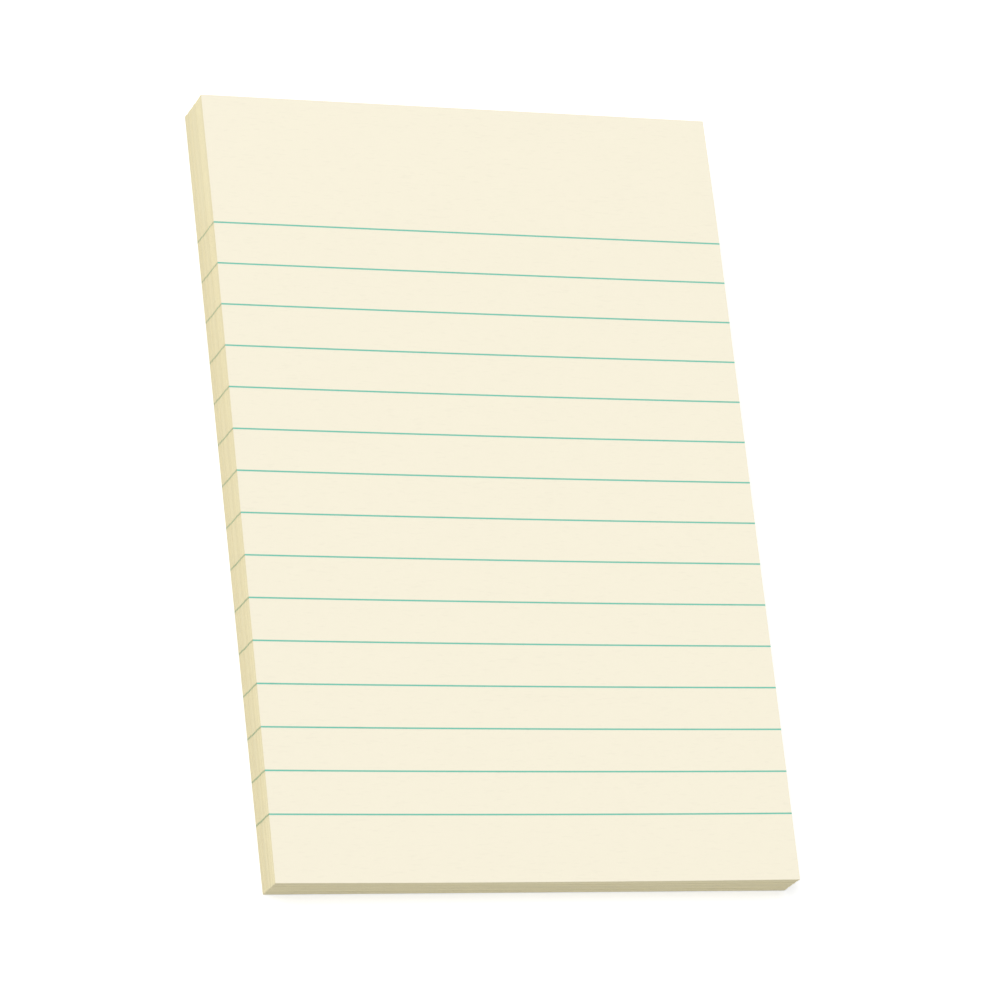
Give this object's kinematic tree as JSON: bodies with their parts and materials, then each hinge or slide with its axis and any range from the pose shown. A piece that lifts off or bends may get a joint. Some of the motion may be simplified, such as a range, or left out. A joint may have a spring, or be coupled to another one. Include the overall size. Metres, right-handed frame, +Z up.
{
  "type": "sticky note pad",
  "caption": "Rectangular pad of ruled sticky notes, thicker at its glued short edge, held to a thin backing sheet.",
  "frame": {"origin": "middle of the underside, which lies on the desk", "axes": "+X along the ruled lines, +Y along the sheets towards the glued edge, +Z up out of the top sheet"},
  "size_m": [0.101, 0.15, 0.0099],
  "materials": {
    "note_paper": "matte",
    "line_ink": "matte",
    "adhesive": "satin",
    "backing_paper": "satin"
  },
  "bodies": {
    "root": {"note_sheets": "note_paper", "ruled_lines": "line_ink", "adhesive_strip": "adhesive", "backing_sheet": "backing_paper"}
  },
  "joints": []
}
